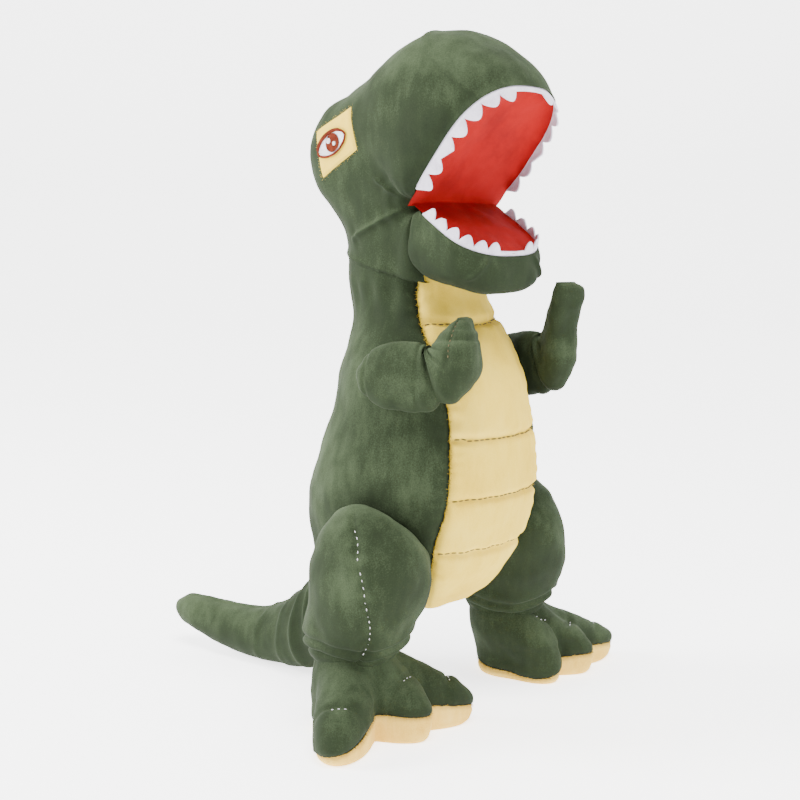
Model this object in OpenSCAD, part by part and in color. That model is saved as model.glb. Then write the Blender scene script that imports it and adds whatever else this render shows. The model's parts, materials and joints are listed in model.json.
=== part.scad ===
// Stuffed dinosaur that stands on two feet and its tail, with an open mouth.
// Millimetres, +Z up. The toy faces -Y and its right side is -X.
// The origin lies on the floor under the middle of the toy's bounding box.

/* [Body] */
// Distance of the body's middle plane from the origin along X
body_x = -17; // [-20:1:20]
// Distance of the body axis from the origin along Y
body_y = -49; // [-80:1:0]
// Thickness of the plush fabric
plush = 2; // [1.5:0.5:3]
// Gap between neighbouring pieces of one body
gap = 0.5; // [0.3:0.1:1]

/* [Belly] */
// Thickness of a quilting thread on the belly
thread = 1; // [0.6:0.1:1.5]
// Heights of the four quilting lines
quilt_lines = [266, 194, 155, 119]; // [80:1:275]

/* [Neck] */
// Height of the flat top of the torso
torso_top = 280; // [276:1:282]
// Radius of the neck stuffing
neck_r = 37; // [32:1:38]
// Height of the flat underside of the head
head_bottom = 296; // [295:1:300]

/* [Head] */
// Y of the fold between palate and tongue
fold_y = -47; // [-55:1:-45]
// Height of the fold between palate and tongue
fold_z = 340; // [335:1:345]
// Upward tilt of the palate
palate_tilt = 50; // [44:1:54]
// Downward tilt of the tongue
tongue_tilt = 33; // [26:1:34]
// Radius left free around the fold
fold_r = 3; // [2:0.5:4]
// Thickness of the red lining and of the yellow appliques
lining = 1.5; // [1:0.1:2]

/* [Teeth] */
// Length of a tooth from the lip to its tip
tooth_len = 10; // [8:1:12]
// Height of the plain band that the teeth hang from
tooth_band = 3; // [2:0.5:4]
// Thickness of the felt
felt = 1.2; // [0.8:0.1:1.5]
// Teeth along each side of the upper lip
side_teeth = 7; // [5:1:8]

/* [Arms] */
// Turn of the shoulder seams towards the front
shoulder_turn = 20; // [10:1:25]
// Distance of the shoulder seams from the body axis
shoulder_out = 66.5; // [66:0.5:69]

/* [Legs] */
// Thickness of the stuffed sole
sole_h = 12; // [8:1:14]

/* [Hidden] */

green = [0.33, 0.42, 0.28];
yellow = [0.88, 0.79, 0.55];
red = [0.78, 0.06, 0.07];
white = [0.86, 0.83, 0.88];
brown = [0.45, 0.22, 0.12];
fibre = [0.93, 0.93, 0.90];
eps = 0.01;
// Gap between the belly and its quilting thread
thread_lift = 0.4;

// Points around each ring of a loft
ring_n = 30;
// Depth of the stuffing under the skin's outer face
inset = plush + gap;

// Torso rows: height, Y of the ring's middle, half width, half depth, half angle of the belly panel
torso_rows = [
    [66, -8, 14, 14, 26], [70, -9, 30, 29, 30], [79, -10, 46, 46, 35], [94, -10, 59, 62, 38],
    [119, -14, 70, 73, 40], [150, -19, 76, 76, 36], [180, -25, 72, 71, 37], [205, -29, 66, 65, 39],
    [230, -28, 61, 60, 43], [251, -26, 54, 53, 48], [268, -22, 46, 46, 52], [280, -17, 41, 41, 49]
];
neck_y = -15;
neck_rim = 5;
neck_rise = 13;

// Head rows about the fold: angle from straight ahead, reach, half width
head_rows = [
    [palate_tilt, 94, 48], [58, 99, 53], [70, 105, 56], [88, 111, 57], [105, 104, 56],
    [120, 98, 53], [133, 103, 50], [145, 116, 49], [157, 118, 49], [172, 104, 48],
    [188, 94, 46], [200, 90, 45], [212, 88, 44], [230, 87, 43], [249, 86, 43], [268, 86, 43]
];
// Jaw rows about the fold: angle from straight ahead, reach, half width
jaw_rows = [
    [-86, 48, 40], [-70, 53.5, 41], [-56, 66, 42], [-46, 76, 43], [-38, 71, 43], [-tongue_tilt, 61, 43]
];
lower_lip = jaw_rows[5];
upper_lip = head_rows[0];
jaw_bottom = 285;
// Squareness of a head section at the fold side and at the outer side
square_in = 6;
square_out = 2.5;

// Corners of the eye patch in Y and Z: back top, front top, front bottom, back bottom
eye_patch = [[37, 389], [-1, 404], [-8, 375], [26, 356]];
// Middle, half length, half height and tilt of the embroidered eye
eye_middle = [15, 379];
eye_half = [14, 8];
eye_tilt = 28;

// Arm rows: upper and lower end of each section along the shoulder plane and in height, half thickness
upper_arm_rows = [
    [[-21, 240], [-21, 225], 7], [[-17, 246], [-17, 219], 10], [[-8, 252], [-8, 213], 13],
    [[8, 254], [8, 211], 14], [[20, 254], [20, 211], 14]
];
arm_y = -28;
elbow = [23, 253];
elbow_reach = [40, 37, 34, 33];
elbow_angles = [-75, -50, -25, 0];
// Forearm height and forearm lean for the right and the left arm
forearm_h = [14, 40];
forearm_lean = [2, 27];
// How much slimmer each forearm is than the upper arm
forearm_slim = [0, 7.5];

// Leg rows: height, inner and outer reach from the middle plane, Y of the middle, half depth
leg_rows = [
    [50.5, 50, 100, -26, 27], [58, 48, 106, -29, 31], [72, 49, 110, -34, 36], [88, 64, 111, -40, 39],
    [108, 68, 112, -43, 41], [126, 71, 109, -44, 37], [140, 74, 102, -43, 28], [149, 76, 92, -41, 15]
];
// How far each leg stands out at the ankle and back at the thigh, right then left
ankle_out = [0, 10];
thigh_back = [0, 7];
// Foot: middle in X and Y, then direction, length and spread of each toe, right foot then left foot
foot_middle = [[-75, -27], [96, -27]];
foot_toes = [
    [[-56, 74, 24], [14, 56, 24], [52, 80, 20]],
    [[-14, 47, 28], [34, 58, 22], [66, 83, 22]]
];
heel_r = 27;
// How far the top of each foot stands over towards its leg along X
foot_lean = [0, -11];
// Foot rows: height, share of the toe length, share of the heel radius
foot_rows = [[12.4, 1, 1], [20, 0.97, 1.02], [28, 0.8, 1.03], [36, 0.52, 1.02], [43, 0.25, 0.98], [50, 0.06, 0.94]];

// Tail rows: Y, height of the underside, height of the top, half width, X of the middle
tail_rows = [
    [38, 40, 62, 12, 0], [43, 24, 76, 26, 0], [54, 14, 82, 33, -1], [68, 6, 76, 33, -2],
    [86, 1, 60, 28, -5], [106, 0.5, 46, 23, -8], [128, 0.5, 40, 20, -11], [150, 2, 38, 18, -14],
    [172, 8, 39, 15, -17], [194, 14, 39, 12, -20], [208, 18, 37, 8, -22], [214, 22, 33, 4, -23]
];

// ---- helpers ----

function signed_pow(v, p) = sign(v) * pow(abs(v), p);

// Unit direction in the Y-Z plane at an angle above straight ahead
function ahead(a) = [-cos(a), sin(a)];

// One closed ring: from a to b in a plane, h to each side, squareness at a and b
function ring(a, b, h, na = 2, nb = 2, n = ring_n) =
    [for (k = [0:n - 1])
        let (t = 360 * k / n, p = cos(t) > 0 ? nb : na)
        let (along = signed_pow(cos(t), 2 / p), across = signed_pow(sin(t), 2 / p))
        let (q = (a + b) / 2 + (b - a) / 2 * along)
        [h * across, q.x, q.y]];

function middle(ring) = [for (i = [0:2]) [for (p = ring) p[i]] * [for (p = ring) 1] / len(ring)];

function lookup_row(rows, key, column) = lookup(key, [for (r = rows) [r[0], r[column]]]);

// The same rings, run round the other way for the side that needs it
function turned(rings, flip) = [for (r = rings)
    flip ? [for (k = [len(r) - 1:-1:0]) r[k]] : r];

// Closed solid through a list of rings
module loft(rings) {
    n = len(rings[0]);
    m = len(rings);
    points = concat([for (r = rings) each r], [middle(rings[0])], [middle(rings[m - 1])]);
    sides = [for (i = [0:m - 2], k = [0:n - 1])
        let (j = (k + 1) % n, a = i * n + k, b = i * n + j, c = a + n, d = b + n)
        each [[a, c, b], [b, c, d]]];
    first = [for (k = [0:n - 1]) [m * n, k, (k + 1) % n]];
    last = [for (k = [0:n - 1]) [m * n + 1, (m - 1) * n + (k + 1) % n, (m - 1) * n + k]];
    polyhedron(points, concat(sides, first, last));
}

// Sewn bag between two lists of rings, open at its first ring
module sock(outer, inner) {
    n = len(outer[0]);
    m = len(outer);
    base = m * n;
    points = concat([for (r = outer) each r], [for (r = inner) each r],
        [middle(outer[m - 1])], [middle(inner[m - 1])]);
    sides = [for (i = [0:m - 2], k = [0:n - 1])
        let (j = (k + 1) % n, a = i * n + k, b = i * n + j, c = a + n, d = b + n)
        each [[a, c, b], [b, c, d]]];
    last = [for (k = [0:n - 1]) [2 * base, (m - 1) * n + (k + 1) % n, (m - 1) * n + k]];
    sides_in = [for (f = sides) [base + f[0], base + f[2], base + f[1]]];
    last_in = [for (f = last) [2 * base + 1, base + f[2], base + f[1]]];
    rim = [for (k = [0:n - 1])
        let (j = (k + 1) % n) each [[k, j, base + k], [j, base + j, base + k]]];
    polyhedron(points, concat(sides, last, sides_in, last_in, rim));
}

// Closed sheet between two grids of points of the same size
module sheet(outer, inner) {
    m = len(outer);
    n = len(outer[0]);
    all = concat([for (r = outer) each r], [for (r = inner) each r]);
    base = m * n;
    faces_out = [for (i = [0:m - 2], k = [0:n - 2])
        let (a = i * n + k, b = a + 1, c = a + n, d = c + 1) each [[a, c, b], [b, c, d]]];
    faces_in = [for (f = faces_out) [base + f[0], base + f[2], base + f[1]]];
    rim_low = [for (k = [0:n - 2]) each [[k, k + 1, base + k], [k + 1, base + k + 1, base + k]]];
    top = (m - 1) * n;
    rim_high = [for (k = [0:n - 2])
        each [[top + k, base + top + k, top + k + 1], [top + k + 1, base + top + k, base + top + k + 1]]];
    rim_left = [for (i = [0:m - 2])
        let (a = i * n, c = a + n) each [[a, base + a, c], [c, base + a, base + c]]];
    rim_right = [for (i = [0:m - 2])
        let (a = i * n + n - 1, c = a + n) each [[a, c, base + a], [c, base + c, base + a]]];
    polyhedron(all, concat(faces_out, faces_in, rim_low, rim_high, rim_left, rim_right));
}

// Sets a piece down where the body stands
module place() {
    translate([body_x, body_y, 0]) children();
}

// ---- torso ----

// Point of the torso at a height, an angle from straight ahead and a depth below its surface
function torso_at(z, angle, depth) =
    let (y = lookup_row(torso_rows, z, 1))
    let (w = lookup_row(torso_rows, z, 2) - depth, d = lookup_row(torso_rows, z, 3) - depth)
    [w * sin(angle), y - d * cos(angle), z];

function torso_heights() = [for (r = torso_rows) r[0]];

function torso_grid(depth, from_side) =
    [for (r = torso_rows)
        let (edge = r[4] + 0.4)
        let (a0 = from_side ? edge : -r[4], a1 = from_side ? 360 - edge : r[4])
        let (n = from_side ? ring_n - 4 : 10)
        [for (k = [0:n]) torso_at(r[0], a0 + (a1 - a0) * k / n, depth)]];

module torso_skin() {
    color(green) place() sheet(torso_grid(0, true), torso_grid(plush, true));
}

module belly_panel() {
    color(yellow) place() sheet(torso_grid(0, false), torso_grid(plush, false));
}

module torso_stuffing() {
    rows = [for (z = torso_heights()) max(z, torso_rows[0][0] + inset)];
    color(fibre) place() loft([for (z = rows)
        [for (k = [0:ring_n - 1]) torso_at(z, 360 * k / ring_n, inset)]]);
}

module belly_quilting() {
    color(brown) place() for (z = quilt_lines) {
        half = lookup_row(torso_rows, z, 4) - 1;
        outer = [for (s = [-0.5, 0.5])
            [for (k = [0:10]) torso_at(z + s * thread, half * (k / 5 - 1), -thread - thread_lift)]];
        inner = [for (s = [-0.5, 0.5])
            [for (k = [0:10]) torso_at(z + s * thread, half * (k / 5 - 1), -thread_lift)]];
        sheet(outer, inner);
    }
}

module back_patch() {
    heights = [196, 200, 206, 212, 218, 222];
    halves = [3, 7, 9, 9, 7, 3];
    function patch_row(i, depth) = [for (k = [0:6])
        torso_at(heights[i], 180 + halves[i] * (k / 3 - 1), depth)];
    color(brown) place() sheet(
        [for (i = [0:5]) patch_row(i, -lining - thread_lift)],
        [for (i = [0:5]) patch_row(i, -thread_lift)]);
}

// ---- neck ----

module neck_stuffing() {
    bottom = torso_top + 1;
    color(fibre) place() translate([0, neck_y, bottom]) rotate_extrude($fn = 64)
        polygon([[0, 0], [neck_r, 0], [neck_r, neck_rim], [0, neck_rise]]);
}

module neck_skin() {
    bottom = torso_top + 1;
    inner = neck_r + gap;
    color(green) place() translate([0, neck_y, bottom]) rotate_extrude($fn = 64)
        polygon([[inner, 0], [inner + plush, 0], [inner + plush, neck_rim - 1], [inner, neck_rim]]);
}

// ---- head and jaw ----

// A section of the head or jaw at an angle about the fold, trimmed at a floor height
function fold_ring(a, reach, half, floor_z, depth, n = ring_n) =
    let (limit = sin(a) < -eps ? (fold_z - floor_z - depth) / -sin(a) : 1000)
    [for (p = ring([fold_r, 0], [reach - depth, 0], half - depth, square_in, square_out, n))
        let (s = min(p.y, limit), d = ahead(a))
        [p.x, fold_y + s * d.x, fold_z + s * d.y]];

// The part of such a section that the skin covers, without the side at the fold
function fold_arc(a, reach, half, floor_z, depth) =
    let (full = fold_ring(a, reach, half, floor_z, depth, 36))
    [for (k = [-15:15]) full[(k + 36) % 36]];

module fold_skin(rows, floor_z) {
    sheet(
        [for (r = rows) fold_arc(r[0], r[1], r[2], floor_z, 0)],
        [for (r = rows) fold_arc(r[0], r[1], r[2], floor_z, plush)]);
}

module fold_stuffing(rows, floor_z) {
    loft([for (r = rows) fold_ring(r[0], r[1], r[2], floor_z, inset)]);
}

module head_skin() {
    color(green) place() fold_skin(head_rows, head_bottom);
}

module head_stuffing() {
    color(fibre) place() fold_stuffing(head_rows, head_bottom);
}

module jaw_skin() {
    color(green) place() fold_skin(jaw_rows, jaw_bottom);
}

module jaw_stuffing() {
    color(fibre) place() fold_stuffing(jaw_rows, jaw_bottom);
}

// Outline of a lip: along X and along the mouth's face, depth inside the lip
function lip(reach, half, depth, from = 125, n = 40) =
    [for (k = [0:n])
        let (t = from - 2 * from * k / n, p = cos(t) > 0 ? square_out : square_in)
        let (mid = (reach + fold_r) / 2, run = (reach - fold_r) / 2 - depth)
        [(half - depth) * signed_pow(sin(t), 2 / p), mid + run * signed_pow(cos(t), 2 / p)]];

// Puts a shape drawn in X and reach onto a mouth face; its height rises into the mouth
module on_face(tilt, up) {
    translate([0, fold_y, fold_z]) rotate([-tilt, 0, 0]) rotate([up ? 0 : 180, 0, 0])
        mirror([0, up ? 1 : 0, 0]) children();
}

module mouth_lining(tilt, up, row) {
    on_face(tilt, up) translate([0, 0, gap]) linear_extrude(lining)
        polygon(lip(row[1], row[2], gap, 165));
}

module palate_lining() {
    color(red) place() mouth_lining(palate_tilt, false, upper_lip);
}

module tongue_lining() {
    color(red) place() mouth_lining(-tongue_tilt, true, lower_lip);
}

// A felt strip round a lip; teeth is a function of the place along the strip
module tooth_strip(tilt, up, row, count, plain, from) {
    n = 96;
    edge = lip(row[1], row[2], 1, from, n);
    inner_edge = lip(row[1], row[2], 1 + felt, from, n);
    function height(u) =
        let (side = abs(u - 0.5) * 2)
        let (bump = abs(sin(180 * count * (side - plain) / (1 - plain))))
        tooth_band + (side < plain ? 0 : (tooth_len - tooth_band) * pow(bump, 0.7));
    foot = lining + 2 * gap;
    function wall(line) = [for (i = [0, 1])
        [for (k = [0:n]) [line[k].x, line[k].y, foot + i * height(k / n)]]];
    on_face(tilt, up) sheet(wall(edge), wall(inner_edge));
}

module upper_teeth() {
    color(white) place() tooth_strip(palate_tilt, false, upper_lip, side_teeth, 0.12, 118);
}

module lower_teeth() {
    color(white) place() tooth_strip(-tongue_tilt, true, lower_lip, side_teeth - 1, 0.2, 110);
}

// Half width of the head at a place in the Y-Z plane
function head_side(y, z, depth) =
    let (s = norm([y - fold_y, z - fold_z]), a = atan2(z - fold_z, fold_y - y))
    let (angle = a < 0 ? a + 360 : a)
    let (reach = lookup_row(head_rows, angle, 1), half = lookup_row(head_rows, angle, 2))
    let (v = abs(s - (reach + fold_r) / 2) / ((reach - fold_r) / 2))
    (half - depth) * pow(max(0.02, 1 - pow(min(v, 0.99), square_out)), 1 / square_out);

module head_applique(grid, low, high, side) {
    function lift(h) = [for (r = grid) [for (p = r) [side * (head_side(p.x, p.y, 0) + h), p.x, p.y]]];
    if (side < 0) sheet(lift(high), lift(low));
    else sheet(lift(low), lift(high));
}

function patch_grid() =
    [for (i = [0:6]) [for (k = [0:6])
        let (u = i / 6, v = k / 6)
        (eye_patch[0] * (1 - u) + eye_patch[1] * u) * (1 - v) + (eye_patch[3] * (1 - u) + eye_patch[2] * u) * v]];

function eye_grid() =
    [for (i = [0:8]) [for (k = [0:4])
        let (u = i / 4 - 1, v = (k / 2 - 1) * max(0.05, 1 - u * u))
        let (p = [u * eye_half.x, v * eye_half.y])
        eye_middle + [p.x * cos(eye_tilt) + p.y * sin(eye_tilt), -p.x * sin(eye_tilt) + p.y * cos(eye_tilt)]]];

module eye_patch(side) {
    color(yellow) place() head_applique(patch_grid(), 1, 1 + lining, side);
}

module eye(side) {
    color(brown) place() head_applique(eye_grid(), 1.8 + lining, 2.8 + lining, side);
}

module eye_patch_right() { eye_patch(-1); }
module eye_patch_left() { eye_patch(1); }
module eye_right() { eye(-1); }
module eye_left() { eye(1); }

// ---- arms ----

// Rows of the whole arm: section start, section end, half thickness
function arm_rows(which) =
    let (lean = forearm_lean[which], h = forearm_h[which])
    let (turn = [for (i = [0:3])
        let (a = elbow_angles[i], r = elbow_reach[i])
        [elbow + 2 * [cos(a), sin(a)], elbow + r * [cos(a), sin(a)], 13.5]])
    let (up = [sin(lean), cos(lean)])
    let (fore = [for (f = [[0.3, 3, 32, 12.5], [0.6, 4, 30, 11.5], [0.85, 7, 26, 9], [1, 12, 21, 5]])
        [elbow + [f[1] + forearm_slim[which] * f[0], 0] + up * h * f[0], elbow + [f[2], 0] + up * h * f[0], f[3]]])
    concat(upper_arm_rows, turn, fore);

// How far out the flat back of the arm stays, at a place along the arm
function arm_floor(along) = along < 24 ? 0 : -min(14, (along - 24) * 0.5);

function arm_ring(row, side, depth) =
    let (c = cos(shoulder_turn), s = sin(shoulder_turn))
    let (axis = (row[0] + row[1]) / 2, half = (row[1] - row[0]) / 2)
    let (len_half = max(norm(half) - depth, 1), dir = half / norm(half))
    [for (p = ring(axis - dir * len_half, axis + dir * len_half, 1))
        let (back = arm_floor(p.y) + depth, front = row[2] + 1.5 - depth)
        let (out = shoulder_out + back + max(p.x, 0) * (front - back))
        [side * (out * c - p.y * s), arm_y - out * s - p.y * c, p.z]];

function arm_rings(which, side, depth) =
    turned([for (r = arm_rows(which)) arm_ring(r, side, depth)], side < 0);

module arm_skin(which, side) {
    color(green) place() sock(arm_rings(which, side, 0), arm_rings(which, side, plush));
}

module arm_stuffing(which, side) {
    color(fibre) place() loft(arm_rings(which, side, inset));
}

module arm_right_skin() { arm_skin(0, -1); }
module arm_right_stuffing() { arm_stuffing(0, -1); }
module arm_left_skin() { arm_skin(1, 1); }
module arm_left_stuffing() { arm_stuffing(1, 1); }

// ---- legs and feet ----

function leg_ring(row, side, depth) =
    let (which = side < 0 ? 0 : 1, rise = min(1, (row[0] - leg_rows[0][0]) / 50))
    let (out = ankle_out[which] * (1 - rise), back = thigh_back[which] * rise)
    let (mid = (row[1] + row[2]) / 2 + out, half = (row[2] - row[1]) / 2 - depth)
    [for (k = [0:ring_n - 1])
        let (t = 360 * k / ring_n)
        [side * (mid + half * sin(t)), back + row[3] - (row[4] - depth) * cos(t), row[0]]];

function leg_rings(side, depth) =
    let (last = len(leg_rows) - 1)
    let (rows = [for (i = [0:last])
        let (r = leg_rows[i])
        [i == last ? r[0] - depth : r[0], r[1], r[2], r[3], r[4]]])
    turned([for (r = rows) leg_ring(r, side, depth)], side < 0);

module leg_skin(side) {
    color(green) place() sock(leg_rings(side, 0), leg_rings(side, plush));
}

module leg_stuffing(side) {
    color(fibre) place() loft(leg_rings(side, inset));
}

module leg_right_skin() { leg_skin(-1); }
module leg_right_stuffing() { leg_stuffing(-1); }
module leg_left_skin() { leg_skin(1); }
module leg_left_stuffing() { leg_stuffing(1); }

// Reach of the foot's outline at an angle, with the toes at a share of their length
function foot_reach(which, angle, toe_share, heel_share) =
    let (lobes = [for (t = foot_toes[which])
        let (off = (angle - t[0] + 540) % 360 - 180)
        (t[1] - heel_r) * toe_share * exp(-pow(off / t[2], 2))])
    heel_r * heel_share + max(lobes);

function foot_outline(which, toe_share, heel_share, depth, n = 72) =
    [for (k = [0:n - 1])
        let (a = 360 * k / n, r = foot_reach(which, a, toe_share, heel_share) - depth)
        foot_middle[which] + r * [sin(a), -cos(a)]];

function foot_rings(which, depth) =
    let (last = len(foot_rows) - 1)
    [for (i = [0:last])
        let (f = foot_rows[i], z = i == last ? f[0] - depth : f[0])
        let (over = foot_lean[which] * (f[0] - foot_rows[0][0]) / (foot_rows[last][0] - foot_rows[0][0]))
        [for (p = foot_outline(which, f[1], f[2], depth, 48)) [p.x + over, p.y, z]]];

module foot_upper(which) {
    color(green) place() sock(foot_rings(which, 0), foot_rings(which, plush));
}

module foot_stuffing(which) {
    color(fibre) place() loft(foot_rings(which, inset));
}

module foot_sole(which) {
    color(yellow) place() linear_extrude(sole_h) polygon(foot_outline(which, 0.97, 0.97, 0));
}

module foot_right_upper() { foot_upper(0); }
module foot_right_stuffing() { foot_stuffing(0); }
module foot_right_sole() { foot_sole(0); }
module foot_left_upper() { foot_upper(1); }
module foot_left_stuffing() { foot_stuffing(1); }
module foot_left_sole() { foot_sole(1); }

// ---- tail ----

function tail_rings(depth) =
    let (last = len(tail_rows) - 1)
    [for (i = [0:last])
        let (t = tail_rows[i], y = i == last ? t[0] - depth : t[0])
        [for (p = ring([y, t[1] + depth], [y, t[2] - depth], max(t[3] - depth, 1)))
            [p.x + t[4], p.y, p.z]]];

module tail_skin() {
    color(green) place() sock(tail_rings(0), tail_rings(plush));
}

module tail_stuffing() {
    color(fibre) place() loft(tail_rings(inset));
}

torso_skin();
torso_stuffing();
belly_panel();
belly_quilting();
back_patch();
neck_stuffing();
neck_skin();
head_skin();
head_stuffing();
palate_lining();
upper_teeth();
eye_patch_right();
eye_patch_left();
eye_right();
eye_left();
jaw_skin();
jaw_stuffing();
tongue_lining();
lower_teeth();
arm_right_skin();
arm_right_stuffing();
arm_left_skin();
arm_left_stuffing();
leg_right_skin();
leg_right_stuffing();
leg_left_skin();
leg_left_stuffing();
foot_right_upper();
foot_right_stuffing();
foot_right_sole();
foot_left_upper();
foot_left_stuffing();
foot_left_sole();
tail_skin();
tail_stuffing();
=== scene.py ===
"""Looks of a green plush dinosaur that stands on two feet and its tail.
Shapes are worked out in millimetres about the body axis, and placed in the frame in metres."""

import json
import math

import bpy
import numpy as np
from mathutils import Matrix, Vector, noise
from mathutils.bvhtree import BVHTree


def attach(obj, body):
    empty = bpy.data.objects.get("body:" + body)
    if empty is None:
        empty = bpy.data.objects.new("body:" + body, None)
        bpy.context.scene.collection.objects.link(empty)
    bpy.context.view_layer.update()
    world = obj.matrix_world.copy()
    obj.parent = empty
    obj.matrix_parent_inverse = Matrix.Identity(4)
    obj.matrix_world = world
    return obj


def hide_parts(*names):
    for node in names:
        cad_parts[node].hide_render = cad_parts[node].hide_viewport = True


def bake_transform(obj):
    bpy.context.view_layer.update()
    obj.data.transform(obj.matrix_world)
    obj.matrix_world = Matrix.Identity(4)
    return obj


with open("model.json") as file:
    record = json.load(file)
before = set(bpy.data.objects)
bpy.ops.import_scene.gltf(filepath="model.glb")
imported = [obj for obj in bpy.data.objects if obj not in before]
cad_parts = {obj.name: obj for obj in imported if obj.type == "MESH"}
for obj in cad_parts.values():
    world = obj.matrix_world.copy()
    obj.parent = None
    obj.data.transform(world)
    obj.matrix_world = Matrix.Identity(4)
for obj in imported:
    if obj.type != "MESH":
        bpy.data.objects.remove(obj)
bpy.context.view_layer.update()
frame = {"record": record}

RNG = np.random.default_rng(7)

# ---- places from the frame ----

JOINTS = {j["name"]: j for j in frame["record"]["behaviour"]["joints"]}
NECK_BACK = 0.015  # the neck's turning axis stands this far in front of the body axis
AXIS_X = JOINTS["head_turn"]["pos_m"][0]
AXIS_Y = JOINTS["head_turn"]["pos_m"][1] + NECK_BACK
FOLD_Y = (JOINTS["jaw"]["pos_m"][1] - AXIS_Y) * 1000
FOLD_Z = JOINTS["jaw"]["pos_m"][2] * 1000
PALATE, TONGUE = 50, -33  # tilt of the mouth's two faces, in degrees

# ---- fabric ----


def fabric(name, dark, base, light, pile=0.00035, patch=0.03, sheen=0.35, depth=0.35, painted_top_light=0.0):
    """Short-pile fabric: colour in soft patches, painted light that makes the colour lighter the more a
    surface faces up, fibre bump and sheen.
    """
    material = bpy.data.materials.new(name)
    material.use_nodes = True
    tree = material.node_tree
    shader = tree.nodes["Principled BSDF"]
    shader.inputs["Roughness"].default_value = 0.92
    shader.inputs["Specular IOR Level"].default_value = 0.15
    shader.inputs["Sheen Weight"].default_value = sheen
    shader.inputs["Sheen Roughness"].default_value = 0.45
    shader.inputs["Sheen Tint"].default_value = (*light, 1)
    place = tree.nodes.new("ShaderNodeTexCoord")

    def cloud(size, detail, stretch=(1, 1, 1), rough=0.55):
        mapping = tree.nodes.new("ShaderNodeMapping")
        mapping.inputs["Scale"].default_value = stretch
        node = tree.nodes.new("ShaderNodeTexNoise")
        node.inputs["Scale"].default_value = 1 / size
        node.inputs["Detail"].default_value = detail
        node.inputs["Roughness"].default_value = rough
        tree.links.new(place.outputs["Object"], mapping.inputs["Vector"])
        tree.links.new(mapping.outputs["Vector"], node.inputs["Vector"])
        return node.outputs["Fac"]

    def maths(kind, a, b):
        node = tree.nodes.new("ShaderNodeMath")
        node.operation = kind
        for socket, value in zip(node.inputs, (a, b)):
            if isinstance(value, (int, float)):
                socket.default_value = value
            else:
                tree.links.new(value, socket)
        return node.outputs[0]

    patches = maths("MULTIPLY", cloud(patch, 2), 0.50)
    streaks = maths("MULTIPLY", cloud(patch / 9, 4, (1, 1, 0.35)), 0.20)
    grain = maths("MULTIPLY", cloud(pile * 2.2, 2), 0.24)
    mixed = maths("ADD", maths("ADD", patches, streaks), grain)
    # painted light: the colour is made lighter the more a surface faces up, standing in for light from above
    facing = tree.nodes.new("ShaderNodeSeparateXYZ")
    tree.links.new(place.outputs["Normal"], facing.inputs["Vector"])
    mixed = maths("ADD", mixed, maths("MULTIPLY", facing.outputs["Z"], painted_top_light))
    ramp = tree.nodes.new("ShaderNodeValToRGB")
    ramp.color_ramp.elements[0].position = 0.33
    ramp.color_ramp.elements[0].color = (*dark, 1)
    ramp.color_ramp.elements[1].position = 0.72
    ramp.color_ramp.elements[1].color = (*light, 1)
    ramp.color_ramp.elements.new(0.48).color = (*base, 1)
    tree.links.new(mixed, ramp.inputs["Fac"])
    tree.links.new(ramp.outputs["Color"], shader.inputs["Base Color"])
    bump = tree.nodes.new("ShaderNodeBump")
    bump.inputs["Strength"].default_value = depth
    bump.inputs["Distance"].default_value = pile
    tree.links.new(cloud(pile * 1.6, 4, (1, 1, 0.5), 0.7), bump.inputs["Height"])
    tree.links.new(bump.outputs["Normal"], shader.inputs["Normal"])
    return material


# the green plush gets painted light that makes its upward faces lighter
GREEN = fabric(
    "green_plush", (0.009, 0.014, 0.006), (0.015, 0.023, 0.0095), (0.055, 0.077, 0.039), patch=0.06, painted_top_light=0.13
)
YELLOW = fabric("yellow_plush", (0.58, 0.38, 0.03), (0.69, 0.48, 0.05), (0.77, 0.58, 0.10), patch=0.04)
SOLE = fabric("sole_plush", (0.58, 0.34, 0.05), (0.70, 0.46, 0.09), (0.78, 0.58, 0.18), patch=0.03)
RED = fabric(
    "red_plush", (0.17, 0.0004, 0.0004), (0.24, 0.0008, 0.0008), (0.31, 0.004, 0.004), pile=0.0003, sheen=0.0
)
FELT = fabric(
    "felt", (0.50, 0.45, 0.55), (0.64, 0.60, 0.70), (0.76, 0.73, 0.80), pile=0.0005, patch=0.008, depth=0.6
)
BROWN = fabric(
    "embroidery", (0.06, 0.008, 0.003), (0.12, 0.018, 0.006), (0.22, 0.04, 0.016), pile=0.0002, patch=0.004
)
RUST = fabric("rust_plush", (0.035, 0.010, 0.005), (0.06, 0.018, 0.010), (0.10, 0.035, 0.02), patch=0.01)
WHITE = fabric(
    "white_thread", (0.60, 0.57, 0.60), (0.74, 0.72, 0.76), (0.86, 0.85, 0.88), pile=0.0002, patch=0.004
)
DARK = fabric("thread", (0.05, 0.04, 0.02), (0.10, 0.08, 0.04), (0.18, 0.15, 0.08), pile=0.0002, patch=0.004)

# ---- shaping ----


def smooth(rows, at, column):
    """A column of a table of rows on a smooth curve over the rows' first column."""
    rows = np.asarray(rows, float)
    keys, values = rows[:, 0], rows[:, column]
    slope = np.gradient(values, keys)
    at = np.clip(at, keys[0], keys[-1])
    i = np.clip(np.searchsorted(keys, at) - 1, 0, len(keys) - 2)
    step = keys[i + 1] - keys[i]
    t = (at - keys[i]) / step
    return (
        (2 * t**3 - 3 * t**2 + 1) * values[i]
        + (t**3 - 2 * t**2 + t) * step * slope[i]
        + (3 * t**2 - 2 * t**3) * values[i + 1]
        + (t**3 - t**2) * step * slope[i + 1]
    )


def bell(distance, width):
    return np.exp(-((distance / width) ** 2))


def step(x, start, end):
    t = np.clip((x - start) / (end - start), 0, 1)
    return t * t * (3 - 2 * t)


def power(value, exponent):
    return np.sign(value) * np.abs(value) ** exponent


def lumps(points, size, seed=0):
    """Soft random height from -1 to 1 at each point."""
    flat = points.reshape(-1, 3) / size
    shift = Vector((seed * 17.3, seed * 5.1, seed * 9.7))
    values = [noise.noise(Vector(p) + shift) for p in flat]
    return np.array(values).reshape(points.shape[:-1]) * 1.8


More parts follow.
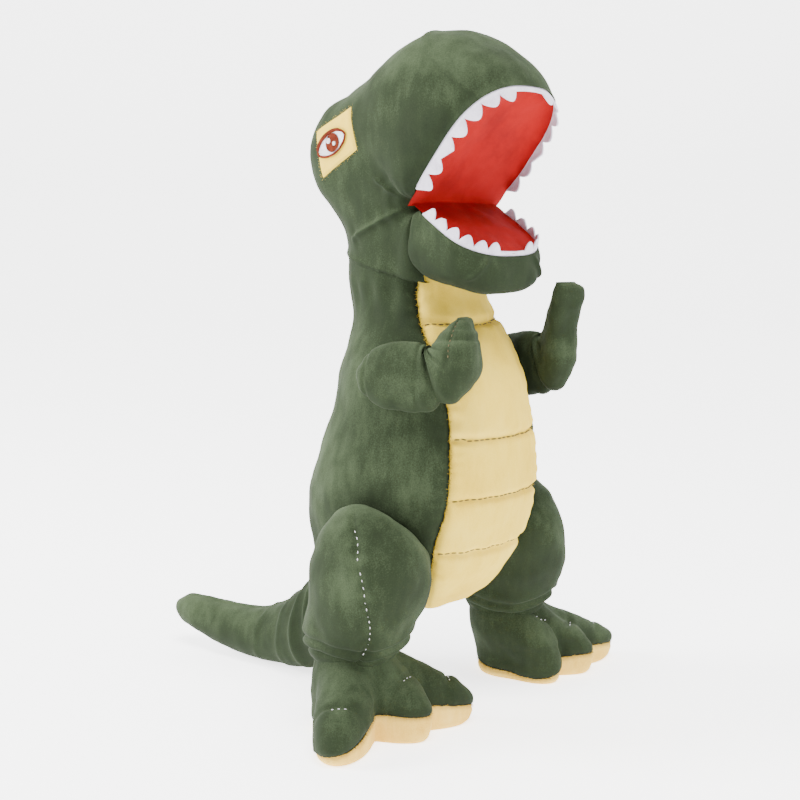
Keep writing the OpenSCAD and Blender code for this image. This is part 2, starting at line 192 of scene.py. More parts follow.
def ahead(angle):
    """Unit direction in the Y-Z plane at an angle above straight ahead, in degrees."""
    a = np.radians(angle)
    return np.stack([-np.cos(a), np.sin(a)], -1)


def grid_normals(points, flip=False):
    along = np.gradient(points, axis=0)
    across = np.gradient(points, axis=1)
    normal = np.cross(across, along)
    normal /= np.linalg.norm(normal, axis=-1, keepdims=True) + 1e-9
    return -normal if flip else normal


def pushed(points, height, flip=False):
    return points + grid_normals(points, flip) * height[..., None]


def mesh(name, vertices, faces, material):
    """An object from points in millimetres about the body axis."""
    data = bpy.data.meshes.new(name)
    placed = np.asarray(vertices, float) / 1000 + (AXIS_X, AXIS_Y, 0)
    data.from_pydata(placed.tolist(), [], faces)
    data.update()
    data.shade_smooth()
    data.materials.append(material)
    obj = bpy.data.objects.new(name, data)
    bpy.context.collection.objects.link(obj)
    return obj


def grid(name, points, material, ring=False, capped=False):
    """An object through a grid of points; ring joins each row to itself, capped closes both ends."""
    m, n = points.shape[:2]
    wide = n if ring else n - 1
    faces = [
        (i * n + k, i * n + (k + 1) % n, (i + 1) * n + (k + 1) % n, (i + 1) * n + k)
        for i in range(m - 1)
        for k in range(wide)
    ]
    vertices = points.reshape(-1, 3)
    if capped:
        vertices = np.vstack([vertices, points[0].mean(0), points[-1].mean(0)])
        faces += [(m * n, (k + 1) % n, k) for k in range(n)]
        last = (m - 1) * n
        faces += [(m * n + 1, last + k, last + (k + 1) % n) for k in range(n)]
    return mesh(name, vertices, faces, material)


def spread(line, gap):
    """Places along a line at even distances, with the direction there."""
    line = np.asarray(line, float)
    run = np.concatenate([[0], np.cumsum(np.linalg.norm(np.diff(line, axis=0), axis=1))])
    at = np.arange(gap / 2, run[-1], gap)
    places = np.stack([np.interp(at, run, line[:, i]) for i in range(3)], -1)
    after = np.stack([np.interp(at + 0.5, run, line[:, i]) for i in range(3)], -1)
    before = np.stack([np.interp(at - 0.5, run, line[:, i]) for i in range(3)], -1)
    along = after - before
    return places, along / (np.linalg.norm(along, axis=1, keepdims=True) + 1e-9)


def threads(name, places, along, length, radius, material):
    """Short rounded stitches, one at each place."""
    profile = ((-0.5, 0.25), (-0.38, 0.85), (0, 1), (0.38, 0.85), (0.5, 0.25))
    vertices, faces = [], []
    for p, d in zip(places, along):
        side = np.cross(d, (0.3, 0.5, 0.81))
        side /= np.linalg.norm(side)
        other = np.cross(d, side)
        base = len(vertices)
        for s, r in profile:
            for k in range(6):
                t = math.tau * k / 6
                vertices.append(p + d * s * length + (side * math.cos(t) + other * math.sin(t)) * r * radius)
        for i in range(len(profile) - 1):
            for k in range(6):
                a, b = base + i * 6 + k, base + i * 6 + (k + 1) % 6
                faces.append((a, b, b + 6, a + 6))
        faces.append(tuple(base + k for k in range(5, -1, -1)))
        faces.append(tuple(base + 24 + k for k in range(6)))
    return mesh(name, vertices, faces, material)


def fringe(name, places, normals, length, material, spread_out=0.6):
    """Loose fibres of pile that stand out of a seam."""
    vertices, faces = [], []
    for p, n in zip(places, normals):
        out = n + RNG.normal(0, spread_out, 3)
        out *= length * RNG.uniform(0.6, 1.2) / np.linalg.norm(out)
        side = RNG.normal(0, 1, 3)
        side -= out * (side @ out) / (out @ out)
        side *= 0.16 / np.linalg.norm(side)
        base = len(vertices)
        third = np.cross(out / np.linalg.norm(out), side)
        root = p - n * 0.5
        vertices += [root + side, root - side * 0.5 + third, root - side * 0.5 - third, p + out]
        faces += [(base, base + 1, base + 3), (base + 1, base + 2, base + 3), (base + 2, base, base + 3)]
    return mesh(name, vertices, faces, material)


def tree_of(obj):
    return BVHTree.FromObject(obj, bpy.context.evaluated_depsgraph_get())


def stretched(points):
    """Works out the flat width, length and area that a sewn-on piece of cloth's grid of points is cut to; the
    values are not kept.
    """
    width = np.linalg.norm(np.diff(points, axis=1), axis=-1).sum(1).max() / 1000
    middle = points[:, points.shape[1] // 2]
    length = np.linalg.norm(np.diff(middle, axis=0), axis=-1).sum() / 1000
    falling = points[1:, 1:] - points[:-1, :-1]
    rising = points[1:, :-1] - points[:-1, 1:]
    area = np.linalg.norm(np.cross(falling, rising), axis=-1).sum() / 2e6
    area = min(float(area), float(width * length))


def to_mm(point):
    return (np.array(point) - (AXIS_X, AXIS_Y, 0)) * 1000


def to_frame(point):
    return tuple(np.array(point) / 1000 + (AXIS_X, AXIS_Y, 0))


def seen_on(tree, start, direction):
    """Place and normal where a ray from start meets a surface, in millimetres about the body axis."""
    hit = tree.ray_cast(Vector(to_frame(start)), Vector(direction))
    return None if hit[0] is None else (to_mm(hit[0]), np.array(hit[1]))


# ---- torso ----

# Height, Y of the middle, half width, half depth, half angle of the belly panel
TORSO = [
    [64, -8, 5, 5, 26], [66, -8, 16, 16, 27], [70, -9, 30, 30, 30], [79, -10, 46, 46, 35],
    [94, -10, 59, 62, 38],
    [119, -14, 70, 73, 40], [150, -19, 76, 76, 36], [180, -25, 72, 71, 37], [205, -29, 66, 65, 39],
    [230, -28, 61, 60, 43], [251, -25, 53, 52, 48], [268, -20, 46, 46, 51], [281, -16, 43, 44.5, 50],
    [292, -14, 42.5, 45, 48], [302, -13, 43, 45, 46], [315, -12, 40, 42, 45],
    [324, -12, 26, 28, 44],
]
QUILTS = (266, 194, 155, 119)


def torso_grid(turns, count, wide):
    """Points, angles and heights of the belly in front, or of the green side that goes round the back."""
    heights = np.concatenate([np.linspace(64, 74, 10)[:-1], np.linspace(74, 324, count)])
    v = heights[:, None]
    edge = smooth(TORSO, v, 4)
    u = np.linspace(0, 1, wide)[None]
    angle = (2 * u - 1) * edge if turns == "belly" else edge + u * (360 - 2 * edge)
    a = np.radians(angle)
    w, d = smooth(TORSO, v, 2), smooth(TORSO, v, 3)
    y = smooth(TORSO, v, 1)
    points = np.stack([w * np.sin(a), y - d * np.cos(a), v + 0 * a], -1)
    off = np.minimum(np.abs((angle % 360) - edge), np.abs((angle % 360) - 360 + edge))
    reach = np.radians(off) * (w + d) / 2
    height = -2.6 * bell(reach, 2.0) + 0.9 * bell(reach - 8, 6)
    height += 0.45 * np.sin(v / 1.3 + 2 * lumps(points, 30, 5)) * bell(reach, 7)
    if turns == "belly":
        for z in QUILTS:
            line = z - 2.5 * np.cos(a)
            pucker = 0.5 * np.sin(angle / 2.2 + z) * bell(v - line, 9)
            height += (-3.0 * bell(v - line, 2.4) + pucker) * step(reach, 0, 3)
        height += 1.0
    height += 1.1 * lumps(points, 45, 1) + 0.5 * lumps(points, 15, 2)
    # the fabric is drawn in under the neck seam
    height += 0.6 * np.sin(angle / 3.1) * bell(v - 284, 12) * (turns != "belly")
    top_fade = 1 - step(v, 288, 304)
    return pushed(points, height * top_fade * step(v, 64, 76)), angle, v + 0 * a


side_points, _, _ = torso_grid("side", 210, 250)
belly_points, belly_angle, belly_height = torso_grid("belly", 210, 90)
torso = grid("torso", side_points, GREEN)
belly = grid("belly", belly_points, YELLOW)
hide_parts("torso_skin", "torso_stuffing", "neck_skin", "neck_stuffing")
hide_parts("belly_panel")


def quilt_line(z):
    row = belly_height[:, 0]
    line = []
    for k in range(2, belly_points.shape[1] - 2):
        target = z - 2.5 * math.cos(math.radians(belly_angle[100, k]))
        i = int(np.argmin(np.abs(row - target)))
        line.append(belly_points[i, k])
    return np.array(line)


def joined(parts):
    return np.vstack([p for p, _ in parts]), np.vstack([d for _, d in parts])


places, along = joined([spread(quilt_line(z), 4.6) for z in QUILTS])
out = places * (1, 1, 0) - (0, -25, 0)
out /= np.linalg.norm(out, axis=1, keepdims=True)
quilting = threads("quilting", places + out * 0.5, along, 3.4, 0.42, DARK)
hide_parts("belly_quilting")

edges = []
for points, column in ((belly_points, 0), (belly_points, -1)):
    line, _ = spread(points[18:190, column], 0.4)
    edges.append(line)
edge_line = np.vstack(edges)
edge_out = edge_line * (1, 1, 0) - (0, -22, 0)
edge_out /= np.linalg.norm(edge_out, axis=1, keepdims=True)
edge_pile = fringe("belly_edge_pile", edge_line, edge_out, 2.6, YELLOW)
green_pile = fringe("torso_edge_pile", edge_line, edge_out, 2.8, GREEN)
for piece in (torso, belly, quilting, edge_pile, green_pile):
    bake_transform(piece)
stretched(belly_points)

# ---- back patch ----

torso_tree = tree_of(torso)
rows = []
for z in np.linspace(196, 222, 22):
    half = 11 * math.sqrt(max(0.02, 1 - ((z - 209) / 13) ** 2))
    row = []
    for x in np.linspace(-half, half, 22):
        place, normal = seen_on(torso_tree, (x, 90, z), (0, -1, 0))
        rim = min(half - abs(x), 13 - abs(z - 209))
        row.append(place + normal * (1.6 * step(rim, -0.5, 2.5) - 0.4))
    rows.append(row)
patch_points = np.array(rows)
back_patch = grid("back_cloth", patch_points, RUST)
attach(back_patch, "torso")
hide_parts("back_patch")
stretched(patch_points)

# ---- head ----

# Angle about the mouth's fold, reach, half width
HEAD = [
    [PALATE, 95, 49], [58, 100, 53], [70, 105, 56], [88, 111, 57], [105, 104, 56], [120, 98, 53],
    [133, 103, 50], [145, 115, 49], [157, 117, 49], [172, 105, 48], [188, 95, 46], [200, 91, 45],
    [212, 89, 44], [230, 87, 43],
    [249, 86, 43], [260, 86, 42.5], [268, 86, 39], [276, 84, 33],
]
JAW = [
    [-118, 36, 32], [-104, 42, 38], [-94, 46, 41.5], [-86, 50, 43], [-70, 57, 44], [-56, 69, 44],
    [-46, 74, 43.5],
    [-39, 68, 43.5], [TONGUE, 60, 43.5],
]
FOLD_R = 3


def fold_points(rows, angles, turns, floor=None):
    """Points of a head or jaw skin at angles about the fold and turns round each section."""
    a, t = np.meshgrid(angles, np.radians(turns), indexing="ij")
    reach, half = smooth(rows, a, 1), smooth(rows, a, 2)
    p = np.where(np.cos(t) > 0, 2.5, 6 - 2 * step(np.cos(t), -0.5, 0))
    x = half * power(np.sin(t), 2 / p)
    s = (reach + FOLD_R) / 2 + (reach - FOLD_R) / 2 * power(np.cos(t), 2 / p)
    d = ahead(a)
    if floor is not None:
        for _ in range(3):
            y = FOLD_Y + s * d[..., 0]
            limit = np.where(d[..., 1] < -0.05, (FOLD_Z - floor(y)) / np.maximum(-d[..., 1], 0.05), 1e3)
            s = np.minimum(s, limit)
    return np.stack([x, FOLD_Y + s * d[..., 0], FOLD_Z + s * d[..., 1]], -1)


def neck_seam(y):
    return 297 + 0.22 * (y + 22)


head_angles = np.concatenate([np.linspace(PALATE, 60, 14)[:-1], np.linspace(60, 275, 200)])
head_turns = np.linspace(-168, 168, 190)
hood = fold_points(HEAD, head_angles, head_turns, neck_seam)
# the hood narrows to the neck where it is sewn on
low = step(neck_seam(hood[..., 1]) + 50 - hood[..., 2], 0, 50)
flat = hood[..., :2] - (0, -13.5)
wide = np.maximum(np.linalg.norm(flat, axis=-1), 1)
neck_wide = wide / np.hypot(flat[..., 0] / 43.5, flat[..., 1] / 45.8)
drawn = np.where(wide > neck_wide, neck_wide + (wide - neck_wide) * (1 - low), wide)
behind = step(hood[..., 1], -46, -30)[..., None]
hood[..., :2] = (0, -13.5) + flat * (1 + (drawn / wide - 1)[..., None] * behind)
fold = np.array([FOLD_Y, FOLD_Z])
rel = hood[..., 1:] - fold
radius = np.linalg.norm(rel, axis=-1)
bearing = head_angles[:, None] + 0 * radius
muzzle = rel @ ahead(PALATE)
height = 1.0 * lumps(hood, 48, 3) + 0.45 * lumps(hood, 16, 4)
height += -1.1 * bell(muzzle - 83, 1.5) + 0.35 * bell(muzzle - 83 + 5, 4) + 0.35 * bell(muzzle - 83 - 5, 4)
for angle, length in ((147, 34), (203, 60)):
    off = radius * np.sin(np.radians(bearing - angle))
    along_it = step(length - radius, 0, 8) * step(radius, 5, 10)
    height += along_it * (-1.8 * bell(off, 1.8) + 0.5 * bell(np.abs(off) - 6, 4))
    height += along_it * 0.5 * np.sin(radius / 1.6) * bell(off, 7)
height += -1.2 * bell(hood[..., 2] - neck_seam(hood[..., 1]) - 1, 2.5) * (np.abs(hood[..., 0]) > 20)
# the crown seam
height += -0.9 * bell(hood[..., 0], 1.4) * step(rel[..., 1], 30, 50)
height *= step(radius, 4, 16) * step(bearing, PALATE, PALATE + 3)
hood = pushed(hood, height, True)
head = grid("head", hood, GREEN)
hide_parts("head_skin", "head_stuffing")
head_tree = tree_of(head)

jaw_angles = np.linspace(-118, TONGUE, 90)
chin = fold_points(JAW, jaw_angles, head_turns)
rel = chin[..., 1:] - fold
radius = np.linalg.norm(rel, axis=-1)
height = 1.0 * lumps(chin, 35, 6) + 0.4 * lumps(chin, 12, 7)
# the seam that closes the chin on each side
chin_seam = np.abs((np.abs(chin[..., 0]) - 30) * 0.75 + (chin[..., 2] - 300) * 0.66)
near_chin = step(-chin[..., 1], 84, 92) * step(-chin[..., 2], -312, -306)
height += near_chin * (-1.6 * bell(chin_seam, 1.6) + 0.4 * bell(chin_seam - 5, 3))
height *= step(radius, 4, 16) * step(-jaw_angles[:, None], -TONGUE, -TONGUE + 4)
chin = pushed(chin, height, True)
jaw = grid("jaw", chin, GREEN)
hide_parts("jaw_skin", "jaw_stuffing")
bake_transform(head)
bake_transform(jaw)

# ---- mouth ----


def lip_half(reach, half, s):
    """Half width of the mouth at a distance from the fold."""
    v = np.abs(s - (reach + FOLD_R) / 2) / ((reach - FOLD_R) / 2)
    p = np.where(s > (reach + FOLD_R) / 2, 2.5, 6)
    return half * np.maximum(0, 1 - np.minimum(v, 1) ** p) ** (1 / p)


def mouth_place(x, s, rise, tilt, up):
    """Point of the mouth at x, a distance from the fold along its face, and a rise off that face."""
    d = ahead(tilt)
    n = np.array([-d[1], d[0]]) * (-1 if up else 1)
    return np.stack([x, FOLD_Y + s * d[0] + rise * n[0], FOLD_Z + s * d[1] + rise * n[1]], -1)


def lining(name, row, tilt, up, bow):
    reach, half = row[1] - 0.8, row[2] - 0.8
    t = np.linspace(0, 1, 70)[:, None]
    s = FOLD_R - 3.5 + (reach - FOLD_R + 3.5) * (0.5 - 0.5 * np.cos(math.pi * t))
    u = np.linspace(-1, 1, 60)[None]
    wide = np.where(s < 12, lip_half(reach, half, np.maximum(s, 12)), lip_half(reach, half, s))
    x = u * wide * 0.995
    inside = (1 - u**2) * np.clip(1 - ((s - 0.55 * reach) / (0.62 * reach)) ** 2, 0, 1)
    rise = 0.8 + bow * inside
    points = mouth_place(x, s + 0 * u, rise, tilt, up)
    rise = rise + 0.5 * lumps(points, 22, 8) + 0.25 * lumps(points, 8, 9)
    points = mouth_place(x, s + 0 * u, rise, tilt, up)
    return grid(name, points, RED), points


palate, palate_points = lining("palate", HEAD[0], PALATE, False, -5.0)
tongue, tongue_points = lining("tongue", JAW[-1], TONGUE, True, 2.5)
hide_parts("palate_lining")
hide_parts("tongue_lining")
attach(palate, "head")
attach(tongue, "jaw")
stretched(palate_points)
stretched(tongue_points)


def teeth(name, row, tilt, up, count, plain, start, low, high):
    """A felt strip sewn along a lip, with rounded teeth towards the mouth."""
    reach, half = row[1] + 0.4, row[2] + 0.4
    n = 420
    turn = np.radians(np.linspace(start, -start, n))
    p = np.where(np.cos(turn) > 0, 2.5, 6)
    x = half * power(np.sin(turn), 2 / p)
    s = (reach + FOLD_R) / 2 + (reach - FOLD_R) / 2 * power(np.cos(turn), 2 / p)
    run = np.concatenate([[0], np.cumsum(np.hypot(np.diff(x), np.diff(s)))])
    u = run / run[-1]
    side = np.abs(2 * u - 1)
    phase = count * (side - plain) / (1 - plain)
    bump = np.abs(np.sin(math.pi * phase)) ** 0.75
    tall = low + np.where(side < plain, 1.0, (high - low) * bump)
    tall *= step(1 - side, -0.01, 0.05) * 0.6 + 0.4
    inward = np.stack([-np.gradient(s), np.gradient(x)], -1)
    inward /= np.linalg.norm(inward, axis=1, keepdims=True)
    towards = np.stack([-x, 0.5 * reach - s], -1)
    inward *= np.sign((inward * towards).sum(1, keepdims=True))
    uneven = np.array([noise.noise(Vector((k / 25, 0.3, 0.7))) for k in range(n)])
    lean = 0.10 + 0.07 * np.sin(phase * 2.1 + 1) + 0.05 * uneven
    rows = []
    for h in (-1.5, 0, 0.25, 0.5, 0.75, 0.92, 1.0):
        rise = h if h < 0 else tall * h
        sink = 1.0 + lean * rise + 0.25 * np.abs(rise) * max(h, 0)
        rows.append(mouth_place(x + inward[:, 0] * sink, s + inward[:, 1] * sink, rise + 0 * x, tilt, up))
    outer = np.array(rows)
    thick = 1.3
    shift = mouth_place(inward[:, 0], inward[:, 1], 0 * x, tilt, up) - (0, FOLD_Y, FOLD_Z)
    inner = np.array([r + shift * thick * (0.35 if i == 6 else 1) for i, r in enumerate(rows)])
    around = np.concatenate([outer, inner[::-1]])
    return grid(name, around, FELT), outer


upper_teeth, upper_strip = teeth("upper_teeth", HEAD[0], PALATE, False, 7, 0.12, 122, 1.6, 8.8)
lower_teeth, lower_strip = teeth("lower_teeth", JAW[-1], TONGUE, True, 6, 0.16, 112, 1.4, 7.4)
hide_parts("upper_teeth")
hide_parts("lower_teeth")
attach(upper_teeth, "head")
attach(lower_teeth, "jaw")

# ---- eyes ----

PATCH = np.array([[37, 389], [-1, 404], [-8, 375], [26, 356]], float)
EYE_MIDDLE, EYE_HALF, EYE_TILT = np.array([15.0, 379.0]), (14.5, 7.2), math.radians(26)


def on_head(y, z, side, lift):
    """Point over the side of the head at a place in the Y-Z plane."""
    place, normal = seen_on(head_tree, (side * 120, y, z), (-side, 0, 0))
    return place + normal * lift


def eye_place(u, v):
    """Y and Z of a place in the eye, u along it and v up."""
    p, q = u * EYE_HALF[0], v * EYE_HALF[1]
    c, s = math.cos(EYE_TILT), math.sin(EYE_TILT)
    return EYE_MIDDLE + (p * c + q * s, -p * s + q * c)


def lid(u):
    """Height of the upper and lower lid along the eye, from -1 to 1."""
    return 1.05 * (1 - u * u) ** 0.62 + 0.12 * u, -0.95 * (1 - u * u) ** 0.75


def eye_patch(side, name):
    rows = []
    for u in np.linspace(0, 1, 46):
        row = []
        for v in np.linspace(0, 1, 46):
            p = (PATCH[0] * (1 - u) + PATCH[1] * u) * (1 - v) + (PATCH[3] * (1 - u) + PATCH[2] * u) * v
            rim = min(u, 1 - u, v, 1 - v) * 38
            if rim < 0.1:
                p = p + 0.7 * np.array([noise.noise(Vector((p[0], p[1], k))) for k in (1, 9)])
            row.append(on_head(p[0], p[1], side, -0.8 + 2.1 * step(rim, -0.4, 3.0)))
        rows.append(row)
    points = np.array(rows)
    return grid(name, points, YELLOW), points


def loop(ends):
    """Y and Z along the eye's outline."""
    u = np.linspace(-1, 1, ends)
    top = [eye_place(a, lid(a)[0] - 0.12 * a) for a in u]
    bottom = [eye_place(a, lid(a)[1]) for a in u[::-1]]
    return top, bottom


def satin(side, lines, gap, length, radius, lift, name, material):
    """Close-set stitches across each line."""
    all_places, all_along = [], []
    for line in lines:
        points = np.array([on_head(p[0], p[1], side, lift) for p in line])
        places, along = spread(points, gap)
        across = np.cross(along, (side, 0, 0))
        across += along * 0.35
        across /= np.linalg.norm(across, axis=1, keepdims=True)
        all_places.append(places)
        all_along.append(across)
    return threads(name, np.vstack(all_places), np.vstack(all_along), length, radius, material)


def eye(side, name):
    top, bottom = loop(40)
    fill = [
        [eye_place(u, v) for v in np.linspace(lid(u)[1] * 0.95, lid(u)[0] * 0.95, 14)]
        for u in np.linspace(-0.9, 0.9, 52)
    ]
    white_points = np.array([[on_head(p[0], p[1], side, 1.7) for p in row] for row in fill])
    white = grid(f"{name}_white", white_points, WHITE)
    streak = satin(side, fill, 2.6, 3.0, 0.26, 1.75, f"{name}_white_stitches", WHITE)
    outline = satin(side, [top, bottom], 0.42, 1.7, 0.33, 2.3, f"{name}_outline", BROWN)
    crease = [eye_place(u, lid(u)[0] + 0.12) for u in np.linspace(-0.75, 1.12, 40) if abs(u) < 1]
    upper = satin(side, [crease], 0.42, 2.0, 0.33, 2.45, f"{name}_lid", BROWN)
    rings = []
    for r in np.linspace(0.08, 0.62, 7):
        t = np.linspace(0, math.tau, 40)
        rings.append([eye_place(-0.08 + r * 0.66 * math.cos(a), 0.08 + r * 1.25 * math.sin(a)) for a in t])
    iris = satin(side, rings, 0.5, 1.3, 0.32, 2.2, f"{name}_iris", BROWN)
    lights = []
    for cu, cv, r in ((0.10, 0.42, 0.13), (-0.20, -0.12, 0.09)):
        for f in (0.3, 0.75):
            t = np.linspace(0, math.tau, 20)
            lights.append([eye_place(cu + r * f * math.cos(a), cv + r * f * 2 * math.sin(a)) for a in t])
    glints = satin(side, lights, 0.5, 1.0, 0.3, 2.75, f"{name}_highlights", WHITE)
    return white, (streak, outline, upper, iris, glints)


for side, word in ((-1, "right"), (1, "left")):
    applique, patch_grid = eye_patch(side, f"eye_cloth_{word}")
    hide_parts(f"eye_patch_{word}")
    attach(applique, "head")
    rim = np.vstack([patch_grid[0], patch_grid[1:, -1], patch_grid[-1, ::-1], patch_grid[::-1, 0]])
    line, _ = spread(rim, 0.3)
    outward = np.tile((side, 0, 0), (len(line), 1)).astype(float)
    pile = fringe(f"eye_patch_{word}_pile", line, outward, 1.9, YELLOW, 0.9)
    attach(pile, "head")
    stretched(patch_grid)
    white, stitched = eye(side, f"eye_{word}")
    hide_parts(f"eye_{word}")
    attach(white, "head")
    for piece in stitched:
        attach(piece, "head")

# ---- arms ----

SHOULDER_TURN = math.radians(20)
SHOULDER_OUT, ARM_Y = 66.5, -28
ELBOW = np.array([23.0, 253.0])
SEAM_COLUMN = 24  # the column of points down the outside of the arm


def arm_sections(h, lean, slim):
    """Upper end, lower end and half thickness of each section from shoulder to hand."""
    rows = [
        ([-23, 238], [-23, 228], 5), ([-20, 242], [-20, 222], 9), ([-15, 248], [-15, 217], 11.5),
        ([-6, 252], [-6, 213], 13.5), ([8, 254], [8, 211], 14.5), ([20, 254], [20, 211], 14.5),
    ]
    rows = [(np.array(a, float), np.array(b, float), t) for a, b, t in rows]
    for angle, reach in zip((-75, -50, -25, 0), (40, 40, 38, 34)):
        d = np.array([math.cos(math.radians(angle)), math.sin(math.radians(angle))])
        rows.append((ELBOW + (2 + slim * (angle + 75) / 150) * d, ELBOW + reach * d, 14))
    up = np.array([math.sin(math.radians(lean)), math.cos(math.radians(lean))])
    for rise, near, far, thick, narrow in (
        (0.3 * h, 3, 32, 13, 1), (0.6 * h, 4.5, 31, 12.5, 1), (h - 3, 6, 29, 11, 1),
        (h + 1.5, 6, 29, 8, 0.74), (h + 4.5, 6, 29, 3, 0.3),
    ):
        share = 0.5 + 0.5 * min(rise / h, 1)
        middle, half = (near + slim * share + far) / 2, (far - near - slim * share) / 2 * narrow
        thin = thick * (1 - 0.035 * max(slim - 4, 0) * share)
        rows.append((ELBOW + (middle - half, 0) + up * rise, ELBOW + (middle + half, 0) + up * rise, thin))
    return rows


def arm(side, word, h, lean, slim, bend, seed):
    rows = arm_sections(h, lean, slim)
    keys = np.arange(len(rows), dtype=float)
    table = [[k, *a, *b, t] for k, (a, b, t) in zip(keys, rows)]
    at = np.linspace(0, keys[-1], 150)
    first = np.stack([smooth(table, at, 1), smooth(table, at, 2)], -1)
    last = np.stack([smooth(table, at, 3), smooth(table, at, 4)], -1)
    thick = smooth(table, at, 5)[:, None]
    t = np.linspace(0, math.tau, 97)[:-1][None]
    along = power(np.cos(t), 2 / 2.2)
    plane = (first + last)[:, None] / 2 + (last - first)[:, None] / 2 * along[..., None]
    back = -np.clip((plane[..., 0] - 24) * bend, 0, 14) - 9 * (1 - step(plane[..., 0], 10, 36))
    front = thick + 1.5
    outward = (back + front) / 2 + (front - back) / 2 * power(np.sin(t), 2 / 2.2)
    out = SHOULDER_OUT + outward
    c, s = math.cos(SHOULDER_TURN), math.sin(SHOULDER_TURN)
    x, y = out * c - plane[..., 0] * s, ARM_Y - out * s - plane[..., 0] * c
    points = np.stack([side * x, y, plane[..., 1]], -1)
    inner_bend = step(-along, 0.1, 0.9)
    height = 0.9 * lumps(points, 26, seed) + 0.45 * lumps(points, 9, seed + 1)
    for place, depth, whole in ((6.1, 4.2, 0.6), (7.5, 1.4, 0.15), (8.7, 0.7, 0.1), (5.1, 1.2, 0.3)):
        height += -depth * bell(at[:, None] - place, 0.16) * (whole + (1 - whole) * inner_bend)
        height += 0.7 * depth * bell(at[:, None] - place - 0.5, 0.26) * (whole + (1 - whole) * inner_bend)
    height += 2.6 * step(at[:, None], 6.3, 7.4) * step(14 - at[:, None], 0, 2.5) * np.maximum(np.sin(t), 0)
    seam = bell((t - math.pi / 2) * 14, 1.3) * step(at[:, None], 7.2, 8.4)
    height += -1.0 * seam
    height += -0.9 * bell(at[:, None] - 1.9, 0.25)
    height *= step(at[:, None], 0, 1) * step(keys[-1] - at[:, None], 0, 0.5)
    points = pushed(points, height, side < 0)
    obj = grid(f"arm_{word}", points, GREEN, ring=True, capped=True)
    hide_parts(f"arm_{word}_skin", f"arm_{word}_stuffing")
    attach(obj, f"arm_{word}")
    forearm_rows = np.where(at > 8.2)[0][:-8]
    places, along_it = spread(points[forearm_rows, SEAM_COLUMN], 3.4)
    outwards = np.array([side * c, -s, 0])
    dots = threads(f"arm_{word}_seam", places + outwards * 0.35, along_it, 1.5, 0.35, DARK)
    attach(dots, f"arm_{word}")


arm(-1, "right", 13, 1, 8.5, 0.5, 11)
arm(1, "left", 38, 29, 7, 0.25, 14)

# ---- legs ----

# Height, inner and outer reach from the middle plane, Y of the middle, half depth
LEG = [
    [44, 54, 95, -26, 21], [50, 50, 100, -26, 27], [58, 46, 105, -29, 31], [72, 44, 110, -34, 36],
    [88, 42, 112, -40, 39], [108, 41, 112, -43, 41], [120, 44, 110, -44, 38], [131, 54, 106, -43, 33],
    [141, 66, 100, -42, 25], [148, 74, 93, -41, 15], [151, 79, 88, -40, 6],
]
FRONT_SEAM = [[46, 94], [63, 95], [100, 106], [130, 104], [149, 92], [152, 88]]


def leg(side, word, ankle_out, thigh_back, seed):
    heights = np.linspace(44, 151, 130)[:, None]
    rise = np.clip((heights - 50.5) / 50, 0, 1)
    shift, back = ankle_out * (1 - rise), thigh_back * rise
    inner, outer = smooth(LEG, heights, 1), smooth(LEG, heights, 2)
    middle, half = (inner + outer) / 2 + shift, (outer - inner) / 2
    y, depth = smooth(LEG, heights, 3) + back, smooth(LEG, heights, 4)
    t = np.linspace(0, math.tau, 145)[:-1][None]
    x = side * (middle + half * power(np.sin(t), 0.95))
    points = np.stack([x, y - depth * power(np.cos(t), 0.95), heights + 0 * t], -1)
    seam_x = smooth(FRONT_SEAM, heights, 1) + shift
    seam_at = np.arcsin(np.clip((seam_x - middle) / half, -0.98, 0.98))
    off = np.abs((t - seam_at + math.pi) % math.tau - math.pi) * (half + depth) / 2
    height = 1.3 * lumps(points, 34, seed) + 0.5 * lumps(points, 12, seed + 1)
    height += -1.5 * bell(off, 1.7) + 0.5 * bell(off - 6, 4)
    height += 0.35 * np.sin(heights / 1.7) * bell(off, 6)
    for z, drop in ((55, 2.4), (63, 1.3)):
        ring_at = z + 2.5 * np.cos(t * 2 + seed) + 1.5 * np.sin(t + seed)
        height += -drop * bell(heights - ring_at, 1.9) + 0.6 * drop * bell(heights - ring_at - 4.5, 3)
    height *= step(heights, 44, 50) * step(151 - heights, 0, 7)
    points = pushed(points, height, side < 0)
    obj = grid(f"leg_{word}", points, GREEN, ring=True, capped=True)
    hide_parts(f"leg_{word}_skin", f"leg_{word}_stuffing")
    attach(obj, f"leg_{word}")
    line = []
    for i in range(16, 118):
        k = int(round(float(seam_at[i, 0]) / math.tau * 144)) % 144
        line.append(points[i, k])
    line = np.array(line)
    even = np.ones(9) / 9
    line = np.stack([np.convolve(np.pad(line[:, i], 4, "edge"), even, "valid") for i in range(3)], -1)
    places, along_it = spread(line, 4.6)
    normal = (places - (side * 76.0, -38.0, 0)) * (1, 1, 0)
    normal /= np.linalg.norm(normal, axis=1, keepdims=True)
    seam = threads(f"leg_{word}_seam", places + normal * 0.1, along_it, 1.7, 0.3, WHITE)
    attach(seam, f"leg_{word}")


leg(-1, "right", 0, 0, 21)
leg(1, "left", 10, 7, 24)

# ---- feet ----

HEEL_R = 27
# Direction from straight ahead towards +X, length and spread of each toe
TOES = {
    "right": [[-56, 74, 24], [14, 56, 24], [52, 80, 20]],
    "left": [[-14, 47, 28], [34, 58, 22], [66, 83, 22]],
}
FOOT_MIDDLE = {"right": (-75, -27), "left": (96, -27)}
FOOT_LEAN = {"right": 0, "left": -11}  # towards the leg at the ankle
# Height, share of the toe length, share of the heel radius
FOOT = [
    [0, 0.92, 0.93], [2, 0.955, 0.965], [5, 0.975, 0.985], [12.4, 1, 1], [20, 0.965, 1.02], [28, 0.80, 1.03],
    [36, 0.54, 1.02], [43, 0.28, 0.98], [50, 0.08, 0.94], [56, 0.0, 0.86],
]
